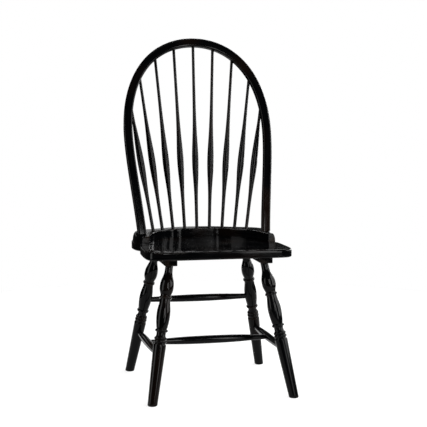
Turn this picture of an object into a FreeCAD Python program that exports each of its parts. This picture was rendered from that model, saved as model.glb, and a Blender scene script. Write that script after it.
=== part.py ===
"""Bow-back windsor side chair, built piece by piece in millimetres.

The chair stands on the floor plane with its front towards -Y. The origin is on the floor under
the middle of its bounding box. Left and right are the sitter's, so left is +X.
"""
import FreeCAD, Part
import math
import os
import re
import Sketcher

Vector = FreeCAD.Vector

# Driving sizes of the chair
SIZES = {
    # Seat plank: heights, then the reach of its outline from the origin
    "seat_height": 447.5,
    "plank_thickness": 25,
    "front_reach": 206.5,
    "rear_reach": 228.5,
    "wing_half_width": 223,
    "wing_at": -63.5,
    "waist_half_width": 212,
    "waist_at": 1.5,
    "ear_half_width": 226.5,
    "ear_at": 76.5,
    "front_corner_run": 62,
    "rear_corner_half_width": 214,
    "rear_corner_at": 166.5,
    "rear_crown_run": 62,
    "top_round": 5,
    "bottom_round": 3,
    # Saddle scooped into the plank, with a low pommel at the front
    "saddle_depth": 9,
    "saddle_half_width": 184,
    "saddle_half_length": 170,
    "saddle_at": -27.5,
    "pommel_rise": 2,
    # Spindle deck that stands on the rear of the plank
    "deck_height": 27.5,
    "deck_inset": 3.5,
    "deck_shoulder": 10,
    "deck_inner_reach": 148.5,
    "deck_inner_run": 46,
    "deck_shoulder_half_width": 148,
    "deck_shoulder_at": 92,
    "deck_tip_half_width": 191,
    "deck_tip_at": -27.5,
    "deck_round": 3,
    # Leg cleats under the plank
    "cleat_width": 37,
    "cleat_thickness": 22,
    "cleat_spacing": 294,
    "cleat_front": -164.5,
    "cleat_back": 136.5,
    "cleat_round": 2,
    # Legs: where the axes leave the cleats and meet the floor
    "leg_top_front": -133.5,
    "leg_top_back": 102.5,
    "leg_top_front_spacing": 294,
    "leg_top_back_spacing": 300,
    "foot_front": -233.5,
    "foot_back": 190.5,
    "foot_front_spacing": 433,
    "foot_back_spacing": 445,
    "leg_neck_diameter": 23,
    "leg_upper_vase_diameter": 40.5,
    "leg_lower_vase_diameter": 39.5,
    "leg_bead_diameter": 38,
    "leg_waist_diameter": 31,
    "leg_cove_diameter": 26.5,
    "leg_ring_diameter": 37.5,
    "leg_post_diameter": 38.5,
    "leg_foot_diameter": 28.5,
    "leg_floor_allowance": 12,
    "leg_upper_bead_at": 99,
    "leg_lower_bead_at": 197,
    "leg_post_at": 239,
    "bead_height": 8,
    "foot_round": 3.5,
    "socket_floor": 11,
    # Stretchers
    "side_stretcher_front_height": 143,
    "side_stretcher_back_height": 138,
    "rear_stretcher_height": 247,
    "cross_stretcher_share": 0.49,
    "side_stretcher_diameter": 24.5,
    "cross_stretcher_diameter": 26,
    "rear_stretcher_diameter": 24,
    "stretcher_end_diameter": 16.5,
    "cross_stretcher_end_diameter": 15,
    "tenon_past_leg_axis": 2,
    # Bow: its outline lies in a plane that leans back from the deck
    "bow_foot_at": 45.5,
    "bow_lean": 17.3,
    "bow_height": 636,
    "bow_half_width": 230,
    "bow_widest_at": 335,
    "bow_foot_half_width": 201.5,
    "bow_crown_run": 135,
    "bow_shoulder_run": 188,
    "bow_side_run": 91,
    "bow_foot_flare": 8.8,
    "bow_foot_run": 118,
    "bow_width": 28,
    "bow_depth": 22,
    "bow_round": 7,
    "bow_trim": 24,
    "bow_tenon_diameter": 17,
    # Spindles: feet along a curve on the deck, tops at marks along the bow from its crown
    "spindle_line_at": 5.5,
    "spindle_line_half_width": 208,
    "spindle_line_setback": 19,
    "spindle_spacing": 41.8,
    "spindle_mark_1": 67,
    "spindle_mark_2": 140,
    "spindle_mark_3": 225,
    "spindle_mark_4": 322,
    "spindle_foot_diameter": 10.6,
    "spindle_swell_diameter": 21.5,
    "spindle_slim_diameter": 12,
    "spindle_top_diameter": 9.5,
    "spindle_swell_at": 218,
    "deck_hole_floor": 7,
    # Fasteners and fits
    "screw_shank_diameter": 4,
    "screw_head_diameter": 8,
    "screw_head_height": 3,
    "screw_bite": 13,
    "screw_recess_width": 1.2,
    "cleat_screw_spacing": 66,
    "deck_screw_offset": 22,
    "fit_clearance": 0.1,
    "end_gap": 0.5,
}

SPINDLE_PAIRS = 4
DECK_LEVELS = (0, 0.5, 0.8, 0.93, 1)
SIDES = {"left": 1, "right": -1}

doc = FreeCAD.newDocument("windsor_chair")
sheet = doc.addObject("Spreadsheet::Sheet", "Sizes")
for row, (alias, number) in enumerate(SIZES.items(), start=1):
    sheet.set(f"A{row}", alias.replace("_", " "))
    sheet.set(f"B{row}", str(number))
    sheet.setAlias(f"B{row}", alias)
doc.recompute()

SIZE_NAME = re.compile(r"\b(" + "|".join(SIZES) + r")\b")
nodes = []


# Sizes and expressions

def bound(text):
    """Returns an expression in which each size name points at its cell in the sheet."""
    return SIZE_NAME.sub(r"Sizes.\1", text)


def size(text):
    """Returns the value of an expression of size names."""
    return float(sheet.evalExpression(bound(text)))


def bind(item, **properties):
    """Binds properties of an object to expressions of size names."""
    for name, text in properties.items():
        item.setExpression(name.replace("__", "."), bound(text))


def keep(item, label):
    """Gives a finished piece its name and lists it as a node."""
    item.Label = label
    nodes.append(item)
    return item


# Sketches, turnings and cuts

def origin_plane(body, role):
    """Returns one of a body's own origin planes."""
    return next(feature for feature in body.Origin.OriginFeatures if feature.Role == role)


def new_sketch(body, name, role, lift=None):
    """Attaches a sketch to an origin plane of its body, lifted off it by an expression."""
    sketch = body.newObject("Sketcher::SketchObject", name)
    sketch.AttachmentSupport = [(origin_plane(body, role), "")]
    sketch.MapMode = "FlatFace"
    if lift is not None:
        sketch.setExpression("AttachmentOffset.Base.z", bound(lift))
    return sketch


def fix(sketch, geometry, end, point):
    """Ties one point of a sketch to a pair of expressions."""
    for kind, text in zip(("DistanceX", "DistanceY"), point):
        index = sketch.addConstraint(Sketcher.Constraint(kind, -1, 1, geometry, end, size(text)))
        sketch.setExpression(f"Constraints[{index}]", bound(text))


def spline_handles(sketch, vectors):
    """Adds a smooth curve through its control polygon and returns the edge and its poles."""
    degree = min(3, len(vectors) - 1)
    spans = len(vectors) - degree
    turns = [degree + 1] + [1] * (spans - 1) + [degree + 1]
    curve = Part.BSplineCurve()
    curve.buildFromPolesMultsKnots(vectors, turns, [float(k) for k in range(spans + 1)], False, degree)
    edge = sketch.addGeometry(curve, False)
    first_pole = sketch.GeometryCount
    sketch.exposeInternalGeometry(edge)
    return edge, [(first_pole + k, 3) for k in range(len(vectors))]


def draw(sketch, start, runs, closed=True):
    """Draws a chain of runs. A run of one point is straight, and a longer one is a curve."""
    corner = start
    first = None
    previous = None
    for number, run in enumerate(runs):
        points = [corner] + list(run)
        vectors = [Vector(size(x), size(y), 0) for x, y in points]
        if len(run) == 1:
            edge = sketch.addGeometry(Part.LineSegment(*vectors), False)
            handles = [(edge, 1), (edge, 2)]
        else:
            edge, handles = spline_handles(sketch, vectors)
        closing = closed and number == len(runs) - 1
        if previous is None:
            first = edge
            fix(sketch, *handles[0], points[0])
        else:
            sketch.addConstraint(Sketcher.Constraint("Coincident", previous, 2, edge, 1))
        for handle, point in list(zip(handles, points))[1:-1 if closing else None]:
            fix(sketch, *handle, point)
        if closing:
            sketch.addConstraint(Sketcher.Constraint("Coincident", edge, 2, first, 1))
        previous = edge
        corner = run[-1]


def turned(name, top, bottom, runs):
    """Makes a turned body about its own Z axis.

    The runs give the profile as pairs of radius and height, from the axis at the top end to the
    axis at the bottom end.
    """
    body = doc.addObject("PartDesign::Body", name)
    sketch = new_sketch(body, name + "_profile", "XZ_Plane")
    draw(sketch, ("0", top), runs + [[("0", bottom)], [("0", top)]])
    turning = body.newObject("PartDesign::Revolution", name + "_turning")
    turning.Profile = sketch
    turning.ReferenceAxis = (sketch, ["V_Axis"])
    turning.Angle = 360
    sketch.Visibility = False
    return body


def along(start, end):
    """Returns the placement that puts an upright object's Z axis on the line from start to end."""
    return FreeCAD.Placement(start, FreeCAD.Rotation(Vector(0, 0, 1), end - start))


def rod(name, start, end, diameter):
    """Makes a round bar between two points, for bores and tenons."""
    bar = doc.addObject("Part::Cylinder", name)
    bind(bar, Radius=f"({diameter}) / 2")
    bar.Height = (end - start).Length
    bar.Placement = along(start, end)
    return bar


def bore(name, start, end, diameter):
    """Makes the tool that drills a hole for a round member with the usual clearance."""
    return rod(name, start, end, f"{diameter} + 2 * fit_clearance")


def group(name, members):
    """Puts several solids in one compound."""
    compound = doc.addObject("Part::Compound", name)
    compound.Links = members
    return compound


def cut(name, base, tools):
    """Cuts tools that don't touch each other out of a piece."""
    result = doc.addObject("Part::Cut", name)
    result.Base = base
    result.Tool = tools[0] if len(tools) == 1 else group(name + "_tools", tools)
    return result


def fuse(name, members):
    """Joins solids into one."""
    result = doc.addObject("Part::MultiFuse", name)
    result.Shapes = members
    return result


def edges_at_height(shape, height, through=None, slack=0.01):
    """Returns the names of the edges that lie flat at one height, or those that meet one point."""
    names = []
    for number, edge in enumerate(shape.Edges, start=1):
        box = edge.BoundBox
        flat = abs(box.ZMin - height) < slack and abs(box.ZMax - height) < slack
        if flat and (through is None or edge.distToShape(Part.Vertex(through))[0] < slack):
            names.append(f"Edge{number}")
    return names


def round_edges(body, name, base, height, radius, through=None):
    """Rounds the flat edges of a body at one height, or those of them that meet one point."""
    doc.recompute()
    names = edges_at_height(base.Shape, size(height), through)
    fillet = body.newObject("PartDesign::Fillet", name)
    fillet.Base = (base, names)
    bind(fillet, Radius=radius)
    return fillet


# Key points of the frame

PLANK_BOTTOM = "seat_height - plank_thickness"
CLEAT_BOTTOM = "seat_height - plank_thickness - cleat_thickness"
DECK_TOP = "seat_height + deck_height"


def leg_axis(side, end):
    """Returns the points where a leg's axis leaves its cleat and meets the floor."""
    top = Vector(side * size(f"leg_top_{end}_spacing / 2"), size(f"leg_top_{end}"), size(CLEAT_BOTTOM))
    foot = Vector(side * size(f"foot_{end}_spacing / 2"), size(f"foot_{end}"), 0)
    return top, foot


def leg_point(side, end, height):
    """Returns the point of a leg's axis at a height above the floor."""
    top, foot = leg_axis(side, end)
    return foot + (top - foot) * (height / top.z)


def leg_socket(side, end):
    """Returns the end point of a leg's tenon inside the plank."""
    top, foot = leg_axis(side, end)
    rise = size("cleat_thickness + plank_thickness - socket_floor")
    return top + (top - foot) * (rise / top.z)


def bow_placement():
    """Returns the placement of the bow's plane on the deck."""
    base = Vector(0, size("bow_foot_at"), size(DECK_TOP))
    return FreeCAD.Placement(base, FreeCAD.Rotation(Vector(1, 0, 0), -size("bow_lean")))


def bow_foot_direction(side):
    """Returns the direction in which a foot of the bow points down."""
    slope = Vector(-side * size("bow_foot_flare"), 0, -size("bow_foot_run"))
    return bow_placement().Rotation.multVec(slope).normalize()


def bow_foot(side):
    """Returns the point where the bow's centre line meets the deck."""
    return bow_placement().multVec(Vector(side * size("bow_foot_half_width"), 0, 0))


def bow_half():
    """Returns the control points of one half of the bow's centre line, from the crown to a foot."""
    crown = [("0", "bow_height"), ("bow_crown_run", "bow_height"),
             ("bow_half_width", "bow_widest_at + bow_shoulder_run"), ("bow_half_width", "bow_widest_at")]
    limb = [("bow_half_width", "bow_widest_at"), ("bow_half_width", "bow_widest_at - bow_side_run"),
            ("bow_foot_half_width + bow_foot_flare", "bow_foot_run"), ("bow_foot_half_width", "0")]
    return crown, limb


def bow_mark(side, distance):
    """Returns the point of the bow's centre line at a distance from its crown."""
    for points in bow_half():
        curve = Part.BezierCurve()
        curve.setPoles([Vector(side * size(x), 0, size(z)) for x, z in points])
        length = curve.length()
        if distance <= length:
            break
        distance -= length
    local = curve.value(curve.parameterAtDistance(distance, curve.FirstParameter))
    return bow_placement().multVec(local)


def spindle_foot(number):
    """Returns the point where a spindle's axis meets the deck, counted from the middle one."""
    centre = Vector(0, size("spindle_line_at"), size(DECK_TOP))
    half_width = size("spindle_line_half_width")
    reach = size("deck_inner_reach + spindle_line_setback - spindle_line_at")
    middle = centre + Vector(0, reach, 0)
    line = Part.Ellipse(centre + Vector(half_width, 0, 0), middle, centre)
    start = line.parameter(middle)
    distance = abs(number) * size("spindle_spacing")
    point = line.value(line.parameterAtDistance(distance, start)) if number else middle
    return Vector(math.copysign(abs(point.x), number) if number else 0, point.y, point.z)


def spindle_axis(number):
    """Returns the points where a spindle's axis meets the deck and the bow's centre line."""
    side = 1 if number >= 0 else -1
    mark = size(f"spindle_mark_{abs(number)}") if number else 0
    return spindle_foot(number), bow_mark(side, mark)


# Seat plank

def seat_outline(inset):
    """Returns the right-hand half of the seat's outline, from the front middle to the rear."""
    corner = "front_corner_run"
    return [
        ("0", f"-front_reach + {inset}"),
        ("wing_half_width / 2", f"-front_reach + {inset}"),
        (f"wing_half_width - {corner}", f"-front_reach + {inset}"),
        (f"wing_half_width + 2 - {inset}", f"-front_reach + {inset}"),
        (f"wing_half_width + 2 - {inset}", f"wing_at - {corner}"),
        (f"wing_half_width - {inset}", "wing_at + 20"),
        (f"wing_half_width - 4 - {inset}", "(wing_at + waist_at) / 2"),
        (f"waist_half_width - {inset}", "waist_at - 20"),
        (f"waist_half_width - 2 - {inset}", "waist_at + 16"),
        (f"ear_half_width - 2 - {inset}", "(waist_at + ear_at) / 2 - 6"),
        (f"ear_half_width + 5 - {inset}", "ear_at + 16"),
        (f"rear_corner_half_width - {inset}", f"rear_corner_at - {inset}"),
        (f"rear_crown_run * 2 - {inset}", f"(rear_reach + rear_corner_at) / 2 - 8 - {inset}"),
        ("rear_crown_run", f"rear_reach - {inset}"),
        ("0", f"rear_reach - {inset}"),
    ]


def mirrored(points):
    """Returns points on the other side of the middle plane, in the opposite order."""
    return [("-(" + x + ")", y) for x, y in reversed(points)]


def seat_sketch(body, name, inset, lift=None):
    """Draws the whole outline of the seat on the body's base plane, or lifted off it."""
    half = seat_outline(inset)
    sketch = new_sketch(body, name, "XY_Plane", lift)
    draw(sketch, half[0], [half[1:], mirrored(half)[1:]])
    return sketch


def saddle_section(share):
    """Returns the outline of the saddle's tool at one share of its half length from its middle.

    Towards the front the saddle's sides flatten, so that it opens out into the wings.
    """
    overrun = 1.15
    lift = share * share
    pommel = max(0, -share)
    spread = overrun * overrun * (1 - 0.75 * pommel)
    rim = f"{overrun} * saddle_half_width"
    flank = f"{overrun} * saddle_half_width * 2 / 3"
    level = f"plank_thickness + saddle_depth * ({lift} - 1"
    rim_height = f"{level} + {spread})"
    flank_height = f"{level} + {spread / 3}) - {pommel} * pommel_rise / 2"
    middle_height = f"{level} - {spread / 3}) + {pommel} * pommel_rise"
    top = "plank_thickness + saddle_depth * 4"
    start = (f"-{rim}", top)
    curve = [(f"-{flank}", flank_height), ("0", middle_height), (flank, flank_height), (rim, rim_height)]
    return start, [[(f"-{rim}", rim_height)], curve, [(rim, top)], [start]]


def build_seat_plank():
    """Makes the plank: outline, rounded edges and saddle."""
    body = doc.addObject("PartDesign::Body", "SeatPlank")
    pad = body.newObject("PartDesign::Pad", "SeatPlankPad")
    pad.Profile = seat_sketch(body, "SeatOutline", "0")
    bind(pad, Length="plank_thickness")
    upper = round_edges(body, "SeatTopRound", pad, "plank_thickness", "top_round")
    round_edges(body, "SeatBottomRound", upper, "0", "bottom_round")
    sections = []
    for number, share in enumerate((-1.2, -0.6, 0, 0.6, 1.2)):
        sketch = new_sketch(body, f"SaddleSection{number}", "XZ_Plane",
                            f"-(saddle_at + {share} * saddle_half_length)")
        draw(sketch, *saddle_section(share))
        sections.append(sketch)
    saddle = body.newObject("PartDesign::SubtractiveLoft", "Saddle")
    saddle.Profile = sections[0]
    saddle.Sections = sections[1:]
    bind(body, Placement__Base__z=PLANK_BOTTOM)
    return body


def build_deck():
    """Makes the deck: the seat's outline with its sides rounding in, cut back to a horseshoe."""
    body = doc.addObject("PartDesign::Body", "SpindleDeck")
    outlines = []
    for number, share in enumerate(DECK_LEVELS):
        inset = f"(deck_inset + deck_shoulder * {1 - math.sqrt(1 - share * share)})"
        outlines.append(seat_sketch(body, f"DeckOutline{number}", inset, f"{share} * deck_height"))
    block = body.newObject("PartDesign::AdditiveLoft", "SpindleDeckBlock")
    block.Profile = outlines[0]
    block.Sections = outlines[1:]
    inner = [
        ("deck_tip_half_width", "deck_tip_at"),
        ("deck_tip_half_width - 12", "deck_tip_at + 40"),
        ("(deck_tip_half_width + deck_shoulder_half_width) / 2 + 4",
         "(deck_tip_at + deck_shoulder_at) / 2 + 24"),
        ("deck_shoulder_half_width", "deck_shoulder_at"),
        ("deck_inner_run * 2", "deck_inner_reach"),
        ("deck_inner_run", "deck_inner_reach"),
        ("0", "deck_inner_reach"),
    ]
    clear_x = "wing_half_width * 2"
    clear_y = "-front_reach * 2"
    sketch = new_sketch(body, "DeckInside", "XY_Plane")
    draw(sketch, (clear_x, clear_y), [
        [(clear_x, "deck_tip_at")], [inner[0]], inner[1:], mirrored(inner)[1:],
        [(f"-{clear_x}", "deck_tip_at")], [(f"-{clear_x}", clear_y)], [(clear_x, clear_y)],
    ])
    pocket = body.newObject("PartDesign::Pocket", "DeckInsideCut")
    pocket.Profile = sketch
    pocket.Reversed = True
    bind(pocket, Length="deck_height")
    inner_middle = Vector(0, size("deck_inner_reach"), size("deck_height"))
    round_edges(body, "DeckInnerRound", pocket, "deck_height", "deck_round", inner_middle)
    bind(body, Placement__Base__z="seat_height")
    return body


def build_cleat(name, side):
    """Makes one of the two battens under the plank that thicken it for the leg sockets."""
    body = doc.addObject("PartDesign::Body", "Cleat_" + name)
    sketch = new_sketch(body, f"Cleat_{name}_outline", "XY_Plane")
    left, right = "-cleat_width / 2", "cleat_width / 2"
    draw(sketch, (left, "cleat_front"), [
        [(right, "cleat_front")], [(right, "cleat_back")], [(left, "cleat_back")], [(left, "cleat_front")],
    ])
    pad = body.newObject("PartDesign::Pad", f"Cleat_{name}_pad")
    pad.Profile = sketch
    bind(pad, Length="cleat_thickness")
    round_edges(body, f"Cleat_{name}_round", pad, "0", "cleat_round")
    bind(body, Placement__Base__x=f"{side} * cleat_spacing / 2", Placement__Base__z=CLEAT_BOTTOM)
    return body


# Legs

def bead(upper, lower, inside, outside):
    """Returns a turned bead as one curve between two heights, with its fullest diameter named."""
    peak = f"{inside} / 2 + ({outside} - {inside}) * 2 / 3"
    return [(peak, upper), (peak, lower), (f"{inside} / 2", lower)]


def leg_profile(length, socket):
    """Returns the turned profile of a leg, from the end of its tenon to the end of its foot."""
    neck = "leg_neck_diameter / 2"
    waist = "leg_waist_diameter / 2"
    cove = "leg_cove_diameter / 2"
    upper_vase = "leg_upper_vase_diameter / 2"
    lower_vase = "leg_lower_vase_diameter / 2"
    upper_bead = "leg_upper_bead_at"
    lower_bead = "leg_lower_bead_at"
    half = "bead_height / 2"
    post = "leg_post_at"

    def between(share):
        return f"-({upper_bead} + {share} * ({lower_bead} - {upper_bead}))"

    def bead_at(centre):
        upper, lower = f"-({centre} - {half})", f"-({centre} + {half})"
        return bead(upper, lower, "leg_waist_diameter", "leg_bead_diameter")

    return [
        [(neck, f"{socket}")],
        [(neck, f"-0.07 * {upper_bead}")],
        [(neck, f"-0.24 * {upper_bead}"), (f"{neck} + 3", f"-0.36 * {upper_bead}"),
         (f"{upper_vase} - 0.5", f"-0.5 * {upper_bead}"), (f"{upper_vase} + 1.2", f"-0.66 * {upper_bead}"),
         (f"{upper_vase}", f"-0.82 * {upper_bead}"), (waist, f"-({upper_bead} - {half} - 5)"),
         (waist, f"-({upper_bead} - {half})")],
        bead_at(upper_bead),
        [(waist, f"-({upper_bead} + {half} + 7)"), (f"{lower_vase} - 1.5", between(0.27)),
         (f"{lower_vase} + 1", between(0.42)), (f"{lower_vase} + 0.6", between(0.62)),
         (f"{lower_vase} - 1", between(0.8)), (f"{waist} + 1", f"-({lower_bead} - {half} - 4)"),
         (waist, f"-({lower_bead} - {half})")],
        bead_at(lower_bead),
        [(cove, f"-({lower_bead} + {half} + 1)"), (cove, f"-({post} - 28)"), (waist, f"-({post} - 23)")],
        bead(f"-({post} - 23)", f"-({post} - 14)", "leg_waist_diameter", "leg_ring_diameter"),
        bead(f"-({post} - 14)", f"-({post} - 4)", "leg_waist_diameter", "leg_ring_diameter + 1"),
        [(f"{waist} + 0.5", f"-({post} - 2)")],
        [("leg_post_diameter / 2", f"-({post} - 2)"), ("leg_post_diameter / 2", f"-({post} + 4)")],
        [("leg_foot_diameter / 2", f"-({length} + leg_floor_allowance)")],
    ]


def build_leg(name, end):
    """Makes one leg: turned, cut level with the floor, softened at the foot and mortised."""
    side = SIDES[name]
    top, foot = leg_axis(side, end)
    socket_end = leg_socket(side, end)
    socket = (socket_end - top).Length
    length = (foot - top).Length
    code = f"{end}_{name}"
    past_floor = f"-({length} + leg_floor_allowance)"
    body = turned("Leg_" + code, f"{socket}", past_floor, leg_profile(length, socket))
    body.Placement = FreeCAD.Placement(top, FreeCAD.Rotation(Vector(0, 0, -1), foot - top))
    floor = doc.addObject("Part::Box", "Floor_" + code)
    bind(floor, Length="leg_foot_diameter * 4", Width="leg_foot_diameter * 4",
         Height="leg_floor_allowance * 4")
    reach = size("leg_foot_diameter * 2")
    floor.Placement.Base = foot - Vector(reach, reach, size("leg_floor_allowance * 4"))
    level = cut("LevelLeg_" + code, body, [floor])
    doc.recompute()
    softened = doc.addObject("Part::Fillet", "SoftFoot_" + code)
    softened.Base = level
    rounding = size("foot_round")
    rim = [int(edge[4:]) for edge in edges_at_height(level.Shape, 0)]
    softened.Edges = [(number, rounding, rounding) for number in rim]
    tools = [bore(f"SideMortise_{code}", *side_stretcher_run(side, end), "stretcher_end_diameter")]
    if end == "back":
        tools.append(bore(f"RearMortise_{code}", *rear_stretcher_run(side), "stretcher_end_diameter"))
    return keep(cut("Leg_mortised_" + code, softened, tools), f"{end}_{name}_leg")


# Stretchers

def side_stretcher_joint(side, end):
    """Returns where a side stretcher's axis crosses a leg's axis."""
    return leg_point(side, end, size(f"side_stretcher_{end}_height"))


def stretch(start, end, extra):
    """Returns the point that lies a distance past the end of a line."""
    return end + (end - start).normalize() * extra


def side_stretcher_run(side, end):
    """Returns the middle of a side stretcher and the bottom of its mortise in one leg."""
    joints = [side_stretcher_joint(side, name) for name in ("front", "back")]
    middle = (joints[0] + joints[1]) / 2
    return middle, stretch(middle, side_stretcher_joint(side, end), size("tenon_past_leg_axis + end_gap"))


def rear_stretcher_run(side):
    """Returns the middle of the rear stretcher and the bottom of its mortise in one leg."""
    joint = leg_point(side, "back", size("rear_stretcher_height"))
    middle = Vector(0, joint.y, joint.z)
    return middle, stretch(middle, joint, size("tenon_past_leg_axis + end_gap"))


def cross_joint(side):
    """Returns where the cross stretcher's axis meets a side stretcher's axis."""
    front = side_stretcher_joint(side, "front")
    back = side_stretcher_joint(side, "back")
    return back + (front - back) * size("cross_stretcher_share")


def build_stretcher(name, start, end, middle_diameter, end_diameter):
    """Makes a stretcher that swells towards its middle, between two points."""
    length = (end - start).Length
    tip = f"{end_diameter} / 2"
    full = f"{middle_diameter} / 2"
    runs = [
        [(tip, f"{length}")],
        [(tip, f"{0.94 * length}"), (f"{full} - 2", f"{0.8 * length}"), (full, f"{0.64 * length}"),
         (full, f"{0.36 * length}"), (f"{full} - 2", f"{0.2 * length}"), (tip, f"{0.06 * length}"),
         (tip, "0")],
    ]
    body = turned(name, f"{length}", "0", runs)
    body.Placement = along(start, end)
    return body


def build_stretchers():
    """Makes the two side stretchers, the cross stretcher between them and the rear stretcher."""
    past = size("tenon_past_leg_axis")
    for name, side in SIDES.items():
        front, back = (side_stretcher_joint(side, end) for end in ("front", "back"))
        start, end = stretch(back, front, past), stretch(front, back, past)
        body = build_stretcher(f"SideStretcher_{name}", start, end,
                               "side_stretcher_diameter", "stretcher_end_diameter")
        joint, far_joint = cross_joint(side), cross_joint(-side)
        tool = bore(f"CrossMortise_{name}", far_joint, stretch(far_joint, joint, size("end_gap")),
                    "cross_stretcher_end_diameter")
        keep(cut(f"SideStretcher_{name}_mortised", body, [tool]), f"{name}_side_stretcher")
    keep(build_stretcher("CrossStretcher", cross_joint(-1), cross_joint(1), "cross_stretcher_diameter",
                         "cross_stretcher_end_diameter"), "cross_stretcher")
    ends = [leg_point(side, "back", size("rear_stretcher_height")) for side in (-1, 1)]
    keep(build_stretcher("RearStretcher", stretch(ends[1], ends[0], past), stretch(ends[0], ends[1], past),
                         "rear_stretcher_diameter", "stretcher_end_diameter"), "rear_stretcher")


# Bow and spindles

def bow_socket(side, gap):
    """Returns the axis of a bow tenon, from just above the deck to its end in the plank."""
    foot = bow_foot(side)
    down = bow_foot_direction(side)
    depth = size("deck_height + plank_thickness - socket_floor") + gap
    return foot - down * size("bow_tenon_diameter / 2"), foot + down * (depth / -down.z)


def build_bow():
    """Makes the bent bow: swept along its outline, trimmed level on the deck, tenoned and bored."""
    body = doc.addObject("PartDesign::Body", "Bow")
    crown, limb = bow_half()
    tip = ("bow_foot_half_width - bow_trim * bow_foot_flare / bow_foot_run", "-bow_trim")
    rise = [limb[::-1][1:], crown[::-1][1:]]
    fall = [mirrored(crown[::-1])[1:], mirrored(limb[::-1])[1:]]
    path = new_sketch(body, "BowLine", "XZ_Plane")
    draw(path, tip, [[limb[-1]]] + rise + fall + [mirrored([tip])], closed=False)
    section = new_sketch(body, "BowSection", "XY_Plane", tip[1])
    middle = tip[0]

    def corner(across, through):
        return f"{middle} + {across} * bow_width / 2", f"{through} * bow_depth / 2"

    def short_of(across, through, across_share, through_share):
        x, y = corner(across, through)
        return f"{x} - {across * across_share} * bow_round", f"{y} - {through * through_share} * bow_round"

    runs = []
    for across, through in ((1, -1), (1, 1), (-1, 1), (-1, -1)):
        arriving, leaving = ((1, 0), (0, 1)) if across * through < 0 else ((0, 1), (1, 0))
        runs.append([short_of(across, through, *arriving)])
        runs.append([corner(across, through), short_of(across, through, *leaving)])
    draw(section, runs[-1][-1], runs)
    pipe = body.newObject("PartDesign::AdditivePipe", "BowSweep")
    pipe.Profile = section
    pipe.Spine = path
    body.Placement = bow_placement()
    under = doc.addObject("Part::Box", "UnderDeck")
    bind(under, Length="bow_half_width * 3", Width="bow_half_width * 3", Height="bow_half_width",
         Placement__Base__x="-bow_half_width * 1.5", Placement__Base__y="-bow_half_width * 1.5",
         Placement__Base__z=f"{DECK_TOP} - bow_half_width")
    trimmed = cut("TrimmedBow", body, [under])
    tenons = [rod(f"BowTenon_{name}", *bow_socket(side, 0), "bow_tenon_diameter")
              for name, side in SIDES.items()]
    whole = fuse("TenonedBow", [trimmed] + tenons)
    bores = []
    for number in range(-SPINDLE_PAIRS, SPINDLE_PAIRS + 1):
        foot, top = spindle_axis(number)
        bores.append(bore(f"BowBore_{number + SPINDLE_PAIRS + 1}", (foot + top) / 2,
                          stretch(foot, top, size("end_gap")), "spindle_top_diameter"))
    keep(cut("BoredBow", whole, bores), "back_bow")


def build_spindle(number):
    """Makes one spindle: slim ends, with a swell above the deck."""
    foot, top = spindle_axis(number)
    length = (top - foot).Length
    tip = "spindle_top_diameter / 2"
    slim = "spindle_slim_diameter / 2"
    swell = "spindle_swell_diameter / 2"
    base = "spindle_foot_diameter / 2"
    at = "spindle_swell_at"
    end = "-(deck_height - deck_hole_floor)"
    runs = [
        [(tip, f"{length}")],
        [(tip, f"{length} - 40")],
        [(tip, f"({length} + {at}) / 2 + 30"), (slim, f"{at} + 120"), (f"{swell} - 1.6", f"{at} + 62"),
         (f"{swell} + 0.5", f"{at} + 14"), (f"{swell} - 0.4", f"{at} - 34"), (slim, f"{at} - 92"),
         (base, f"{at} * 0.35"), (base, f"{at} * 0.08")],
        [(base, end)],
    ]
    body = turned(f"Spindle_{number + SPINDLE_PAIRS + 1}", f"{length}", end, runs)
    body.Placement = along(foot, top)
    keep(body, f"spindle_{number + SPINDLE_PAIRS + 1}")


def spindle_hole(number):
    """Makes the tool for a spindle's hole in the deck."""
    foot, top = spindle_axis(number)
    depth = size("deck_height - deck_hole_floor + end_gap")
    return bore(f"DeckBore_{number + SPINDLE_PAIRS + 1}", foot + (top - foot) / 10,
                stretch(top, foot, depth), "spindle_foot_diameter")


# Screws

def build_screw(name, x, y, base, length):
    """Makes one countersunk wood screw that points up from a face at the height base."""
    head = doc.addObject("Part::Cone", name + "_head")
    bind(head, Radius1="screw_head_diameter / 2", Radius2="screw_shank_diameter / 2",
         Height="screw_head_height")
    shank = doc.addObject("Part::Cylinder", name + "_shank")
    bind(shank, Radius="screw_shank_diameter / 2", Height=length)
    solid = fuse(name + "_blank", [head, shank])
    slots = []
    for number, (long_side, short_side) in enumerate((("Length", "Width"), ("Width", "Length"))):
        slot = doc.addObject("Part::Box", f"{name}_slot_{number}")
        bind(slot, **{long_side: "screw_head_diameter / 2", short_side: "screw_recess_width",
                      "Height": "screw_head_height / 2"})
        x_side, y_side = ("screw_head_diameter / 4", "screw_recess_width / 2")
        if number:
            x_side, y_side = y_side, x_side
        bind(slot, Placement__Base__x=f"-{x_side}", Placement__Base__y=f"-{y_side}")
        slots.append(slot)
    screw = cut(name, solid, [fuse(name + "_recess", slots)])
    screw.Placement.Base = Vector(x, y, size(base))
    return screw


def screw_hole(name, x, y, base, length):
    """Makes the tool for a screw's countersunk hole."""
    head = doc.addObject("Part::Cone", name + "_sink")
    bind(head, Radius1="screw_head_diameter / 2 + fit_clearance",
         Radius2="screw_shank_diameter / 2 + fit_clearance", Height="screw_head_height + fit_clearance")
    shank = doc.addObject("Part::Cylinder", name + "_pilot")
    bind(shank, Radius="screw_shank_diameter / 2 + fit_clearance", Height=f"{length} + end_gap")
    tool = fuse(name + "_hole", [head, shank])
    tool.Placement.Base = Vector(x, y, size(base))
    return tool


def cleat_screw_points(side):
    """Returns where the screws of one cleat stand."""
    x = side * size("cleat_spacing / 2")
    middle = size("(leg_top_front + leg_top_back) / 2")
    return [(x, middle + step * size("cleat_screw_spacing")) for step in (-1, 0, 1)]


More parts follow.
